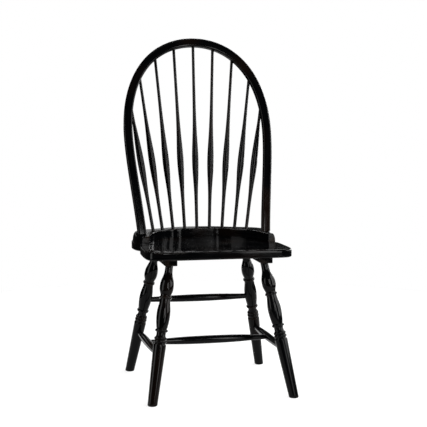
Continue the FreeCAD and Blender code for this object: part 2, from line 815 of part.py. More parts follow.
def deck_screw_points():
    """Returns where the screws into the deck stand: behind the gaps between the spindle feet."""
    points = []
    for side in SIDES.values():
        for near, far in ((0, 1), (3, 4)):
            first, second = spindle_foot(side * near), spindle_foot(side * far)
            run = second - first
            outward = Vector(-run.y, run.x, 0).normalize() * -side
            spot = (first + second) / 2 - outward * size("deck_screw_offset")
            points.append((spot.x, spot.y))
    return points


def build_assembly():
    """Builds every piece and lists it as a node."""
    cleat_length = "cleat_thickness + screw_bite"
    deck_length = "plank_thickness + screw_bite"
    cleat_spots = {name: cleat_screw_points(side) for name, side in SIDES.items()}
    cleat_screws = []
    plank_tools = []
    for name, side in SIDES.items():
        holes = [screw_hole(f"CleatHole_{name}_{k}", *spot, CLEAT_BOTTOM, cleat_length)
                 for k, spot in enumerate(cleat_spots[name])]
        cleat_screws += [build_screw(f"CleatScrew_{name}_{k}", *spot, CLEAT_BOTTOM, cleat_length)
                         for k, spot in enumerate(cleat_spots[name])]
        sockets = []
        for end in ("front", "back"):
            top, foot = leg_axis(side, end)
            sockets.append(bore(f"LegSocket_{end}_{name}", top + (foot - top) / 8,
                                stretch(top, leg_socket(side, end), size("end_gap")), "leg_neck_diameter"))
        keep(cut(f"Cleat_{name}_bored", build_cleat(name, side), holes + sockets), f"{name}_leg_cleat")
        plank_tools += holes + sockets
    deck_spots = deck_screw_points()
    deck_holes = [screw_hole(f"DeckHole_{k}", *spot, PLANK_BOTTOM, deck_length)
                  for k, spot in enumerate(deck_spots)]
    deck_screws = [build_screw(f"DeckScrew_{k}", *spot, PLANK_BOTTOM, deck_length)
                   for k, spot in enumerate(deck_spots)]
    bow_sockets = [bore(f"BowSocket_{name}", *bow_socket(side, size("end_gap")), "bow_tenon_diameter")
                   for name, side in SIDES.items()]
    keep(cut("BoredPlank", build_seat_plank(), plank_tools + deck_holes + bow_sockets), "seat_plank")
    spindle_holes = [spindle_hole(number) for number in range(-SPINDLE_PAIRS, SPINDLE_PAIRS + 1)]
    keep(cut("BoredDeck", build_deck(), spindle_holes + deck_holes + bow_sockets), "spindle_deck")
    for end in ("front", "back"):
        for name in SIDES:
            build_leg(name, end)
    build_stretchers()
    build_bow()
    for number in range(-SPINDLE_PAIRS, SPINDLE_PAIRS + 1):
        build_spindle(number)
    keep(group("CleatScrews", cleat_screws), "cleat_screws")
    keep(group("DeckScrews", deck_screws), "deck_screws")


def check_and_write():
    """Stops if any object failed or any piece is unsound, then writes one file for each piece."""
    doc.recompute()
    failed = [item.Name for item in doc.Objects if {"Invalid", "Error"} & set(item.State)]
    if failed:
        raise RuntimeError("these objects failed: " + ", ".join(failed))
    for item in nodes:
        shape = item.Shape
        if shape.isNull() or not shape.isValid() or not shape.Solids:
            raise RuntimeError(item.Label + " isn't a sound solid")
    os.makedirs("parts", exist_ok=True)
    for item in nodes:
        item.Shape.exportStep(f"parts/{item.Label}.step")
        box = item.Shape.optimalBoundingBox()
        corners = [round(v, 1) for v in (box.XMin, box.XMax, box.YMin, box.YMax, box.ZMin, box.ZMax)]
        print(item.Label, len(item.Shape.Solids), round(item.Shape.Volume / 1000, 2), corners)


build_assembly()
check_and_write()
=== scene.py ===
"""Bow-back windsor side chair in gloss black lacquer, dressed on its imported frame.

Every sub-assembly is a class that builds its pieces as dense meshes in the frame's own place and
gives them their finish. Sizes are in millimetres, as in the CAD source, and become metres when a
mesh is made. The finishes and the studio are in metres. Left and right are the sitter's (left is
+X, front is -Y).
"""

import logging
import math
from collections.abc import Iterable, Sequence
from dataclasses import dataclass, field
from enum import Enum

import bmesh
import bpy
from mathutils import Matrix, Vector

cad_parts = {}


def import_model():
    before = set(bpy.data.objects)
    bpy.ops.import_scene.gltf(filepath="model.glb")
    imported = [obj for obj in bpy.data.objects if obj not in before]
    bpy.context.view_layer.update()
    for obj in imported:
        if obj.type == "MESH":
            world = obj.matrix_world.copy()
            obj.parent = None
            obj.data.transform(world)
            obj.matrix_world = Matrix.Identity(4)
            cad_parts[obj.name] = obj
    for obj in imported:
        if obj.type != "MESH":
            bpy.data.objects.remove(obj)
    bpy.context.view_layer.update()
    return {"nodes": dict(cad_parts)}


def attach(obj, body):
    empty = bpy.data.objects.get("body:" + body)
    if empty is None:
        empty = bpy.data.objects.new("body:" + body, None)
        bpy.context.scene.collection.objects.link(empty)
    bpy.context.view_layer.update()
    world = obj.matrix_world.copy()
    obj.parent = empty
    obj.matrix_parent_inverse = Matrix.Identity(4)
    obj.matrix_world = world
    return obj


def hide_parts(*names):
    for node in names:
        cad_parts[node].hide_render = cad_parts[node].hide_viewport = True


Pair = tuple[float, float]
Triple = tuple[float, float, float]

LOG = logging.getLogger("windsor_chair")
MM = 0.001
BODY = "root"
GRAIN = "grain"
EDGE = "edge"
UP = Vector((0, 0, 1))
BACKWARD = Vector((0, 1, 0))
UPRIGHT = 0.9
CUBIC = 3
STRAIGHT_SPACING = 3
QUARTERS = (0.25, 0.5, 0.75)
SEED_WAY = (1.0, 1.7, 2.3)
SHORTEST = 1e-12


class Side(Enum):
    """A side of the chair, as the sign of its X."""

    LEFT = 1
    RIGHT = -1

    @property
    def label(self) -> str:
        """The side's name in node names."""
        return self.name.lower()


class End(Enum):
    """The front or the back of the chair."""

    FRONT = "front"
    BACK = "back"


class GrainSource(Enum):
    """Where a wood finish takes the direction of its grain from."""

    ATTRIBUTE = "attribute"
    ALONG_Y = "along_y"


# Curves


def bspline(poles: Sequence[Sequence[float]], count: int) -> list[tuple[float, ...]]:
    """Samples a clamped uniform B-spline of up to the third degree.

    Args:
        poles: The control points.
        count: How many points to return, both ends included.

    Returns:
        Points spaced evenly in the curve's parameter.
    """
    degree = min(CUBIC, len(poles) - 1)
    spans = len(poles) - degree
    knots = [0.0] * degree + [float(k) for k in range(spans + 1)] + [float(spans)] * degree
    points = []
    for step in range(count):
        t = spans * step / (count - 1)
        k = min(int(t), spans - 1) + degree
        work = [list(poles[j]) for j in range(k - degree, k + 1)]
        for level in range(1, degree + 1):
            for j in range(degree, level - 1, -1):
                low = knots[j + k - degree]
                high = knots[j + 1 + k - level]
                share = (t - low) / (high - low)
                work[j] = [(1 - share) * a + share * b for a, b in zip(work[j - 1], work[j])]
        points.append(tuple(work[degree]))
    return points


def resample(points: Sequence[Sequence[float]], count: int) -> list[tuple[float, ...]]:
    """Spreads a number of points evenly along a fine polyline.

    Args:
        points: The polyline.
        count: How many points to return, both ends included.

    Returns:
        Points at equal distances along it.
    """
    marks = [0.0]
    for a, b in zip(points, points[1:]):
        marks.append(marks[-1] + math.dist(a, b))
    result = []
    place = 0
    for step in range(count):
        mark = marks[-1] * step / (count - 1)
        while place < len(points) - 2 and marks[place + 1] < mark:
            place += 1
        run = marks[place + 1] - marks[place]
        share = (mark - marks[place]) / run if run else 0.0
        result.append(tuple(a + (b - a) * share for a, b in zip(points[place], points[place + 1])))
    return result


def point_along(points: Sequence[Pair], distance: float) -> Pair:
    """Finds the point at a distance along a fine polyline.

    Args:
        points: The polyline, which is longer than the distance.
        distance: How far along it the point lies.

    Returns:
        The point.
    """
    travelled = 0.0
    for a, b in zip(points, points[1:]):
        run = math.dist(a, b)
        if travelled + run >= distance:
            break
        travelled += run
    share = (distance - travelled) / run if run else 0.0
    return a[0] + (b[0] - a[0]) * share, a[1] + (b[1] - a[1]) * share


def profile(start: Pair, runs: Iterable[Sequence[Pair]], step: float) -> list[Pair]:
    """Samples a turning's outline of straight and curved runs.

    Args:
        start: The first point, as radius and place along the axis.
        runs: Each run's further points. One point is a straight line, more are a curve's poles.
        step: The distance between samples on a curve.

    Returns:
        The outline as radius and place along the axis.
    """
    points = [start]
    for run in runs:
        poles = [points[-1], *run]
        length = sum(math.dist(a, b) for a, b in zip(poles, poles[1:]))
        spacing = step * STRAIGHT_SPACING if len(run) == 1 else step
        count = max(3, math.ceil(length / spacing) + 1)
        points += bspline(poles, count)[1:]
    return points


# Meshes


@dataclass
class Shell:
    """A mesh under construction, in millimetres, with a grain coordinate for every point.

    Grain coordinates are the place in the straightened piece, with Z along the wood's fibres. The
    seed moves them, so that no two pieces show the same figure. Faces that meet at the crease's
    angle or more, in degrees, are shaded with a sharp edge. Wear starts where the surface curves
    outwards by rub_start per millimetre, and is full rub_range further on.
    """

    name: str
    seed: float
    crease: float = 32.0
    rub_start: float = 0.06
    rub_range: float = 0.2
    points: list[Vector] = field(default_factory=list)
    grain: list[Vector] = field(default_factory=list)
    faces: list[tuple[int, ...]] = field(default_factory=list)

    def ring(self, points: Iterable[Vector], grain: Iterable[Vector]) -> list[int]:
        """Adds a row of points.

        Args:
            points: The points.
            grain: Their grain coordinates.

        Returns:
            The points' numbers.
        """
        first = len(self.points)
        self.points.extend(points)
        self.grain.extend(grain)
        return list(range(first, len(self.points)))

    def bridge(self, lower: Sequence[int], upper: Sequence[int]) -> None:
        """Joins two closed rings of points with quads.

        Args:
            lower: The first ring's point numbers.
            upper: The second ring's.
        """
        count = len(lower)
        for k in range(count):
            after = (k + 1) % count
            self.faces.append((lower[k], lower[after], upper[after], upper[k]))

    def tube(self, rings: Sequence[Sequence[int]], capped: bool = True) -> None:
        """Joins a stack of closed rings.

        Args:
            rings: The rings' point numbers.
            capped: Whether both ends are closed.
        """
        for lower, upper in zip(rings, rings[1:]):
            self.bridge(lower, upper)
        if capped:
            self.faces.append(tuple(reversed(rings[0])))
            self.faces.append(tuple(rings[-1]))

    def make(self) -> bpy.types.Object:
        """Builds the object, with smooth shading broken at creases.

        Returns:
            The object, in metres.
        """
        work = bmesh.new()
        grain = work.verts.layers.float_vector.new(GRAIN)
        edge = work.verts.layers.float.new(EDGE)
        offset = Vector([self.seed * way for way in SEED_WAY])
        for point, place in zip(self.points, self.grain):
            vert = work.verts.new(point * MM)
            vert[grain] = place * MM + offset
        work.verts.ensure_lookup_table()
        for face in self.faces:
            work.faces.new([work.verts[k] for k in face])
        bmesh.ops.recalc_face_normals(work, faces=work.faces)
        work.normal_update()
        for vert in work.verts:
            vert[edge] = self.sharpness(vert)
        mesh = bpy.data.meshes.new(self.name)
        work.to_mesh(mesh)
        work.free()
        mesh.shade_smooth()
        mesh.set_sharp_from_angle(angle=math.radians(self.crease))
        piece = bpy.data.objects.new(self.name, mesh)
        bpy.context.scene.collection.objects.link(piece)
        LOG.info("%s: %d faces", self.name, len(mesh.polygons))
        return piece

    def sharpness(self, vert: bmesh.types.BMVert) -> float:
        """Measures how tightly the surface curves outwards at a point.

        Args:
            vert: The point, in metres.

        Returns:
            The share of wear that such an edge gets, from 0 to 1.
        """
        bends = []
        for link in vert.link_edges:
            reach = link.other_vert(vert).co - vert.co
            bends.append(-vert.normal.dot(reach) / max(reach.length_squared, SHORTEST))
        bend = 2 * sum(bends) / max(len(bends), 1) * MM
        return min(1.0, max(0.0, (bend - self.rub_start) / self.rub_range))


def cross_axes(axis: Vector) -> tuple[Vector, Vector]:
    """Returns two unit vectors square to an axis and to each other."""
    side = axis.cross(UP if abs(axis.z) < UPRIGHT else BACKWARD).normalized()
    return side, axis.cross(side).normalized()


def circle(count: int) -> list[Pair]:
    """Returns the cosines and sines of evenly spaced directions."""
    return [(math.cos(math.tau * k / count), math.sin(math.tau * k / count)) for k in range(count)]


def turned(shell: Shell, start: Vector, axis: Vector, outline: Sequence[Pair],
           count: int) -> list[list[int]]:
    """Adds the rings of a turning to a mesh.

    Args:
        shell: The mesh.
        start: Where the axis starts.
        axis: Its unit direction.
        outline: Radius and place along the axis.
        count: How many points go round.

    Returns:
        The rings' point numbers.
    """
    across, through = cross_axes(axis)
    rings = []
    for radius, place in outline:
        centre = start + axis * place
        spokes = [(c * radius, s * radius) for c, s in circle(count)]
        rings.append(shell.ring((centre + across * x + through * y for x, y in spokes),
                                (Vector((x, y, place)) for x, y in spokes)))
    return rings


# Finishes


@dataclass(frozen=True)
class Pattern:
    """A noise in a finish.

    The scale is how many of its lumps fit in a metre, the detail is how many finer layers it has,
    the roughness is how strong those are, and the warp is how far the whole is distorted.
    """

    scale: float
    detail: float = 2.0
    roughness: float = 0.5
    warp: float = 0.0


@dataclass
class Graph:
    """A material's or world's node tree, with short ways to add and link nodes."""

    tree: bpy.types.NodeTree

    @classmethod
    def of(cls, owner: bpy.types.Material | bpy.types.World) -> "Graph":
        """Gives a material or world an empty node tree.

        Args:
            owner: The material or world.

        Returns:
            Its graph.
        """
        owner.use_nodes = True
        owner.node_tree.nodes.clear()
        return cls(owner.node_tree)

    def fill(self, node: bpy.types.Node, socket: int | str, value: object) -> None:
        """Sets an input to a value, or links it to an output.

        Args:
            node: The node.
            socket: The input's name or number.
            value: The value or the output.
        """
        if isinstance(value, bpy.types.NodeSocket):
            self.tree.links.new(value, node.inputs[socket])
        else:
            node.inputs[socket].default_value = value

    def add(self, kind: str, inputs: dict | None = None, **settings: object) -> bpy.types.Node:
        """Adds a node.

        Args:
            kind: The node's type name.
            inputs: Socket names or numbers, each with a value or an output to link.
            settings: Properties of the node.

        Returns:
            The node.
        """
        node = self.tree.nodes.new(kind)
        for name, value in settings.items():
            setattr(node, name, value)
        for socket, value in (inputs or {}).items():
            self.fill(node, socket, value)
        return node

    def math(self, operation: str, *values: object) -> bpy.types.NodeSocket:
        """Adds a math node and returns its output."""
        return self.add("ShaderNodeMath", dict(enumerate(values)), operation=operation).outputs[0]

    def noise(self, place: bpy.types.NodeSocket, pattern: Pattern) -> bpy.types.NodeSocket:
        """Adds a noise texture.

        Args:
            place: Where it is sampled, in metres.
            pattern: What it looks like.

        Returns:
            Its value, from 0 to 1.
        """
        inputs = {"Vector": place, "Scale": pattern.scale, "Detail": pattern.detail,
                  "Roughness": pattern.roughness, "Distortion": pattern.warp}
        return self.add("ShaderNodeTexNoise", inputs).outputs["Fac"]

    def spread(self, value: bpy.types.NodeSocket, span: Pair,
               to: Pair = (0.0, 1.0)) -> bpy.types.NodeSocket:
        """Maps a value smoothly from one range to another.

        Args:
            value: The value.
            span: The range of the value.
            to: The range that it becomes.

        Returns:
            The mapped value.
        """
        inputs = {"Value": value, "From Min": span[0], "From Max": span[1],
                  "To Min": to[0], "To Max": to[1]}
        node = self.add("ShaderNodeMapRange", inputs, interpolation_type="SMOOTHSTEP")
        return node.outputs["Result"]

    def blend(self, share: object, first: object, second: object) -> bpy.types.NodeSocket:
        """Mixes two colours.

        Args:
            share: The second colour's share.
            first: The first colour.
            second: The second colour.

        Returns:
            The mixed colour.
        """
        node = self.add("ShaderNodeMix", data_type="RGBA")
        for socket, value in ((0, share), (6, first), (7, second)):
            self.fill(node, socket, value)
        return node.outputs[2]

    def bump(self, height: bpy.types.NodeSocket, depth: float,
             over: bpy.types.NodeSocket | None = None) -> bpy.types.NodeSocket:
        """Adds a bump.

        Args:
            height: The pattern.
            depth: Its depth in metres.
            over: The normal of another bump that it lies on, if any.

        Returns:
            The bumped normal.
        """
        inputs = {"Height": height, "Strength": 1.0, "Distance": depth}
        if over is not None:
            inputs["Normal"] = over
        return self.add("ShaderNodeBump", inputs).outputs["Normal"]


def opaque(colour: Triple) -> tuple[float, float, float, float]:
    """Returns a colour with full alpha."""
    return (*colour, 1.0)


@dataclass(frozen=True)
class Lacquer:
    """Gloss black lacquer over close-grained hardwood.

    The wood's figure shows faintly through it. In places it is thin and browner, and edges are
    rubbed. Every _from is the range of its pattern over which the effect sets in.
    """

    name: str
    source: GrainSource = GrainSource.ATTRIBUTE
    deep: Triple = (0.0005, 0.0006, 0.0008)
    figure: Triple = (0.0017, 0.0018, 0.0021)
    stain: Triple = (0.0042, 0.0023, 0.0016)
    worn: Triple = (0.013, 0.008, 0.005)
    figure_from: Pair = (0.38, 0.68)
    stain_from: Pair = (0.46, 0.78)
    worn_from: Pair = (0.42, 0.66)
    edge_from: Pair = (0.52, 0.58)
    haze_from: Pair = (0.3, 0.7)
    roughness: Pair = (0.08, 0.16)
    worn_roughness: float = 0.10
    gloss_index: float = 1.155
    coat: float = 0.05
    coat_roughness: float = 0.04
    fibre_stretch: float = 0.06
    rings: Pattern = Pattern(95.0, detail=3.0, roughness=0.55, warp=0.8)
    pores: Pattern = Pattern(820.0, roughness=0.6)
    peel: Pattern = Pattern(210.0, detail=1.0)
    haze: Pattern = Pattern(22.0)
    stains: Pattern = Pattern(7.5, detail=1.0)
    pore_depth: float = 0.000012
    peel_depth: float = 0.000020

    def coordinates(self, graph: Graph) -> bpy.types.NodeSocket:
        """Finds the place in the wood.

        Args:
            graph: The material's nodes.

        Returns:
            The place in metres, with Z along the fibres.
        """
        if self.source is GrainSource.ATTRIBUTE:
            return graph.add("ShaderNodeAttribute", attribute_name=GRAIN).outputs["Vector"]
        place = graph.add("ShaderNodeTexCoord").outputs["Object"]
        turn = {"Vector": place, "Rotation": (math.radians(90), 0, 0)}
        return graph.add("ShaderNodeMapping", turn).outputs["Vector"]

    def edges(self, graph: Graph) -> bpy.types.NodeSocket:
        """Finds the outer edges.

        Args:
            graph: The material's nodes.

        Returns:
            How sharp the edge is, from 0 to 1.
        """
        if self.source is GrainSource.ATTRIBUTE:
            return graph.add("ShaderNodeAttribute", attribute_name=EDGE).outputs["Fac"]
        pointed = graph.add("ShaderNodeNewGeometry").outputs["Pointiness"]
        return graph.spread(pointed, self.edge_from)

    def material(self) -> bpy.types.Material:
        """Builds the material.

        Returns:
            The material.
        """
        made = bpy.data.materials.new(self.name)
        graph = Graph.of(made)
        place = self.coordinates(graph)
        stretch = {"Vector": place, "Scale": (1, 1, self.fibre_stretch)}
        drawn = graph.add("ShaderNodeMapping", stretch).outputs["Vector"]
        haze = graph.noise(place, self.haze)
        lines = graph.spread(graph.noise(drawn, self.rings), self.figure_from)
        thin = graph.spread(graph.noise(place, self.stains), self.stain_from)
        rubbed = graph.math("MULTIPLY", self.edges(graph), graph.spread(haze, self.worn_from))
        body = graph.blend(lines, opaque(self.deep), opaque(self.figure))
        body = graph.blend(thin, body, opaque(self.stain))
        clean = graph.spread(haze, self.haze_from, self.roughness)
        fibres = graph.bump(graph.noise(drawn, self.pores), self.pore_depth)
        surface = graph.bump(graph.noise(place, self.peel), self.peel_depth, fibres)
        shader = graph.add("ShaderNodeBsdfPrincipled", {
            "Base Color": graph.blend(rubbed, body, opaque(self.worn)),
            "Roughness": graph.math("MULTIPLY_ADD", rubbed, self.worn_roughness, clean),
            "Normal": surface, "Coat Normal": surface, "IOR": self.gloss_index,
            "Coat Weight": self.coat, "Coat Roughness": self.coat_roughness,
        })
        graph.add("ShaderNodeOutputMaterial", {"Surface": shader.outputs["BSDF"]})
        return made


@dataclass(frozen=True)
class ZincPlate:
    """Bright zinc plating on steel screws, with a faint blue passivation."""

    name: str
    clear: Triple = (0.60, 0.61, 0.62)
    tinted: Triple = (0.50, 0.53, 0.60)
    tinted_from: Pair = (0.35, 0.65)
    cloud_from: Pair = (0.3, 0.7)
    roughness: Pair = (0.26, 0.42)
    clouds: Pattern = Pattern(260.0, detail=3.0, roughness=0.6)
    pits: Pattern = Pattern(2600.0, roughness=0.6)
    pit_depth: float = 0.00003

    def material(self) -> bpy.types.Material:
        """Builds the material.

        Returns:
            The material.
        """
        made = bpy.data.materials.new(self.name)
        graph = Graph.of(made)
        place = graph.add("ShaderNodeTexCoord").outputs["Object"]
        cloud = graph.noise(place, self.clouds)
        tint = graph.spread(cloud, self.tinted_from)
        shader = graph.add("ShaderNodeBsdfPrincipled", {
            "Base Color": graph.blend(tint, opaque(self.clear), opaque(self.tinted)),
            "Metallic": 1.0,
            "Roughness": graph.spread(cloud, self.cloud_from, self.roughness),
            "Normal": graph.bump(graph.noise(place, self.pits), self.pit_depth),
        })
        graph.add("ShaderNodeOutputMaterial", {"Surface": shader.outputs["BSDF"]})
        return made


def settle(piece: bpy.types.Object, material: bpy.types.Material, *nodes: str) -> None:
    """Gives a new wooden piece its finish and its place in the frame.

    Args:
        piece: The piece.
        material: Its finish.
        nodes: The CAD nodes that it stands for.
    """
    piece.data.materials.append(material)
    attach(piece, BODY)
    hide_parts(*nodes)


def dress_node(node: bpy.types.Object, material: bpy.types.Material) -> None:
    """Gives a CAD node that stays its finish.

    Args:
        node: The node's object.
        material: The finish.
    """
    for slot in node.material_slots:
        slot.material = material
    LOG.info("%s: CAD node, %s", node.name, material.name)


# The frame's key points


@dataclass(frozen=True)
class Layout:
    """Heights and places that several sub-assemblies share."""

    seat_height: float = 447.5
    plank_thickness: float = 25.0
    deck_height: float = 27.5
    cleat_thickness: float = 22.0
    socket_floor: float = 11.0
    leg_tops: tuple[tuple[End, Pair], ...] = (
        (End.FRONT, (147.0, -133.5)), (End.BACK, (150.0, 102.5)))
    leg_feet: tuple[tuple[End, Pair], ...] = (
        (End.FRONT, (216.5, -233.5)), (End.BACK, (222.5, 190.5)))

    @property
    def plank_bottom(self) -> float:
        """Height of the plank's underside."""
        return self.seat_height - self.plank_thickness

    @property
    def cleat_bottom(self) -> float:
        """Height of the cleats' underside."""
        return self.plank_bottom - self.cleat_thickness

    @property
    def deck_top(self) -> float:
        """Height of the deck's top."""
        return self.seat_height + self.deck_height

    def leg_axis(self, side: Side, end: End) -> tuple[Vector, Vector]:
        """Returns where a leg's axis leaves its cleat and meets the floor."""
        (tx, ty), (fx, fy) = dict(self.leg_tops)[end], dict(self.leg_feet)[end]
        return Vector((side.value * tx, ty, self.cleat_bottom)), Vector((side.value * fx, fy, 0))

    def leg_point(self, side: Side, end: End, height: float) -> Vector:
        """Returns the point of a leg's axis at a height."""
        top, foot = self.leg_axis(side, end)
        return foot.lerp(top, height / top.z)


# Legs and stretchers


@dataclass
class Legs:
    """The four turned legs.

    Places are distances below the cleat, along the leg. The upper vase's poles are radii and shares
    of the way from the cleat to the upper bead, the lower vase's are radii and shares of the way
    from the upper bead to the lower one, and the marks over the post are distances above it.
    """

    layout: Layout
    neck: float = 11.5
    neck_end: float = 0.07
    upper_vase: tuple[Pair, ...] = (
        (11.5, 0.24), (14.5, 0.36), (19.75, 0.5), (21.45, 0.66), (20.25, 0.82))
    upper_waist: Pair = (5.0, 7.0)
    lower_vase: tuple[Pair, ...] = ((18.25, 0.27), (20.75, 0.42), (20.35, 0.62), (18.75, 0.8))
    lower_waist: float = 4.0
    waist: float = 15.5
    waist_flare: float = 1.0
    bead: float = 19.0
    half_bead: float = 4.0
    upper_bead_at: float = 99.0
    lower_bead_at: float = 197.0
    cove: float = 13.25
    cove_start: float = 1.0
    cove_end: float = 28.0
    ring_marks: Triple = (23.0, 14.0, 4.0)
    upper_ring: float = 18.75
    lower_ring: float = 19.25
    collar: float = 16.0
    collar_mark: float = 2.0
    post: float = 19.25
    post_at: float = 239.0
    post_shoulder: float = 4.0
    foot: float = 14.25
    allowance: float = 12.0
    foot_round: float = 3.5
    count: int = 72
    step: float = 1.3
    post_steps: int = 26
    round_steps: int = 5
    seed_step: float = 0.31

    def bulge(self, upper: float, lower: float, outside: float) -> list[Pair]:
        """Shapes a bead that stands out of the waist.

        Args:
            upper: The place where it starts.
            lower: The place where it ends.
            outside: Its largest radius.

        Returns:
            The curve's poles after its first.
        """
        # A cubic curve reaches three quarters of the way to its two middle poles.
        peak = self.waist + (outside - self.waist) * 4 / 3
        return [(peak, upper), (peak, lower), (self.waist, lower)]

    def between(self, share: float) -> float:
        """Returns a place at a share of the way from the upper bead to the lower one."""
        return self.upper_bead_at + share * (self.lower_bead_at - self.upper_bead_at)

    def outline(self, socket: float) -> list[Pair]:
        """Draws the profile from the tenon's end to the top of the plain post.

        Args:
            socket: The tenon's length.

        Returns:
            Radius and place along the axis.
        """
        over, under = self.upper_bead_at - self.half_bead, self.upper_bead_at + self.half_bead
        above, below = self.lower_bead_at - self.half_bead, self.lower_bead_at + self.half_bead
        post, waist = self.post_at, self.waist
        first, second, third = (post - mark for mark in self.ring_marks)
        runs = [
            [(self.neck, self.neck_end * self.upper_bead_at)],
            [*((radius, share * self.upper_bead_at) for radius, share in self.upper_vase),
             (waist, over - self.upper_waist[0]), (waist, over)],
            self.bulge(over, under, self.bead),
            [(waist, under + self.upper_waist[1]),
             *((radius, self.between(share)) for radius, share in self.lower_vase),
             (waist + self.waist_flare, above - self.lower_waist), (waist, above)],
            self.bulge(above, below, self.bead),
            [(self.cove, below + self.cove_start), (self.cove, post - self.cove_end),
             (waist, first)],
            self.bulge(first, second, self.upper_ring),
            self.bulge(second, third, self.lower_ring),
            [(self.collar, post - self.collar_mark)],
            [(self.post, post - self.collar_mark), (self.post, post + self.post_shoulder)],
        ]
        return profile((self.neck, -socket), runs, self.step)

    def post_rings(self, shell: Shell, top: Vector, axis: Vector, length: float) -> list[list[int]]:
        """Adds the plain tapered post, cut level with the floor and softened at its rim.

        Args:
            shell: The leg's mesh.
            top: Where the leg's axis leaves the cleat.
            axis: The axis's unit direction, downwards.
            length: The distance along the axis from the cleat to the floor.

        Returns:
            The rings' point numbers.
        """
        across, through = cross_axes(axis)
        start = self.post_at + self.post_shoulder
        taper = (self.foot - self.post) / (length + self.allowance - start)
        directions = circle(self.count)
        spokes = [across * c + through * s for c, s in directions]
        rings = []
        for number in range(1, self.post_steps + 1):
            share = number / self.post_steps
            lean = share ** 3
            places = []
            for spoke in spokes:
                base = top.z + spoke.z * (self.post - taper * start)
                level = (self.foot_round - base) / (axis.z + spoke.z * taper)
                straight = start + (length - start) * share
                places.append((1 - lean) * straight + lean * (start + (level - start) * share))
            points = [top + axis * place + spoke * (self.post + taper * (place - start))
                      for spoke, place in zip(spokes, places)]
            grain = [Vector((c * self.post, s * self.post, place))
                     for (c, s), place in zip(directions, places)]
            rings.append(shell.ring(points, grain))
        return rings + self.rim_rings(shell, rings[-1], length)

    def rim_rings(self, shell: Shell, last: Sequence[int], length: float) -> list[list[int]]:
        """Adds the rounded rim of the foot.

        Args:
            shell: The leg's mesh.
            last: The post's last ring.
            length: The distance along the axis from the cleat to the floor.

        Returns:
            The rings' point numbers.
        """
        rim = [shell.points[k].copy() for k in last]
        centre = sum(rim, Vector()) / len(rim)
        rings = []
        for number in range(1, self.round_steps + 1):
            angle = math.radians(90 * number / self.round_steps)
            inset = self.foot_round * (1 - math.cos(angle)) / self.foot
            drop = UP * self.foot_round * math.sin(angle)
            moved = [point.lerp(centre, inset) - drop for point in rim]
            grain = (Vector((p.x - centre.x, p.y - centre.y, length)) for p in moved)
            rings.append(shell.ring(moved, grain))
        return rings

    def build(self, material: bpy.types.Material) -> None:
        """Builds and dresses every leg.

        Args:
            material: The legs' finish.
        """
        depth = self.layout.cleat_thickness + self.layout.plank_thickness - self.layout.socket_floor
        for number, (end, side) in enumerate((end, side) for end in End for side in Side):
            top, foot = self.layout.leg_axis(side, end)
            axis = (foot - top).normalized()
            node = f"{end.value}_{side.label}_leg"
            shell = Shell(node + "_turning", seed=self.seed_step * number)
            rings = turned(shell, top, axis, self.outline(depth / -axis.z), self.count)
            rings += self.post_rings(shell, top, axis, (foot - top).length)
            shell.tube(rings)
            settle(shell.make(), material, node)


@dataclass
class Stretchers:
    """The two side stretchers, the cross stretcher between them and the rear stretcher.

    Radii are those of the middle and of the tips. The swell's shares of the length say where the
    tip ends, where the shoulder lies and where the full radius starts, and it is the same from
    both ends.
    """

    layout: Layout
    side_heights: Pair = (143.0, 138.0)
    rear_height: float = 247.0
    cross_share: float = 0.49
    past_axis: float = 2.0
    side_radii: Pair = (12.25, 8.25)
    cross_radii: Pair = (13.0, 7.5)
    rear_radii: Pair = (12.0, 8.25)
    swell_shares: Triple = (0.06, 0.2, 0.36)
    shoulder_drop: float = 2.0
    side_seed: float = 1.9
    side_seed_step: float = 0.2
    cross_seed: float = 2.6
    rear_seed: float = 3.1
    count: int = 56
    step: float = 2.5

    def outline(self, length: float, full: float, tip: float) -> list[Pair]:
        """Draws the profile of a stretcher that swells towards its middle.

        Args:
            length: The stretcher's length.
            full: The radius of its middle.
            tip: The radius of its tips.

        Returns:
            Radius and place along the axis.
        """
        tip_at, shoulder_at, full_at = self.swell_shares
        half = [(tip, tip_at), (full - self.shoulder_drop, shoulder_at), (full, full_at)]
        poles = half + [(radius, 1 - share) for radius, share in reversed(half)] + [(tip, 1.0)]
        return profile((tip, 0), [[(radius, share * length) for radius, share in poles]], self.step)

    def rail(self, node: str, seed: float, ends: tuple[Vector, Vector], extra: float, radii: Pair,
             material: bpy.types.Material) -> None:
        """Builds and dresses one stretcher.

        Args:
            node: The CAD node that it replaces.
            seed: What moves its grain.
            ends: The two points that it runs between.
            extra: How much longer it is at either end.
            radii: The radii of its middle and of its tips.
            material: Its finish.
        """
        run = (ends[1] - ends[0]).normalized()
        start = ends[0] - run * extra
        length = (ends[1] - ends[0]).length + 2 * extra
        shell = Shell(node + "_turning", seed=seed)
        shell.tube(turned(shell, start, run, self.outline(length, *radii), self.count))
        settle(shell.make(), material, node)

    def build(self, material: bpy.types.Material) -> None:
        """Builds and dresses every stretcher.

        Args:
            material: The stretchers' finish.
        """
        crossing = []
        for side in Side:
            front = self.layout.leg_point(side, End.FRONT, self.side_heights[0])
            back = self.layout.leg_point(side, End.BACK, self.side_heights[1])
            crossing.append(back.lerp(front, self.cross_share))
            seed = self.side_seed + side.value * self.side_seed_step
            self.rail(f"{side.label}_side_stretcher", seed, (back, front), self.past_axis,
                      self.side_radii, material)
        self.rail("cross_stretcher", self.cross_seed, (crossing[1], crossing[0]), 0.0,
                  self.cross_radii, material)
        right, left = (self.layout.leg_point(side, End.BACK, self.rear_height)
                       for side in (Side.RIGHT, Side.LEFT))
        self.rail("rear_stretcher", self.rear_seed, (right, left), self.past_axis,
                  self.rear_radii, material)


# Seat


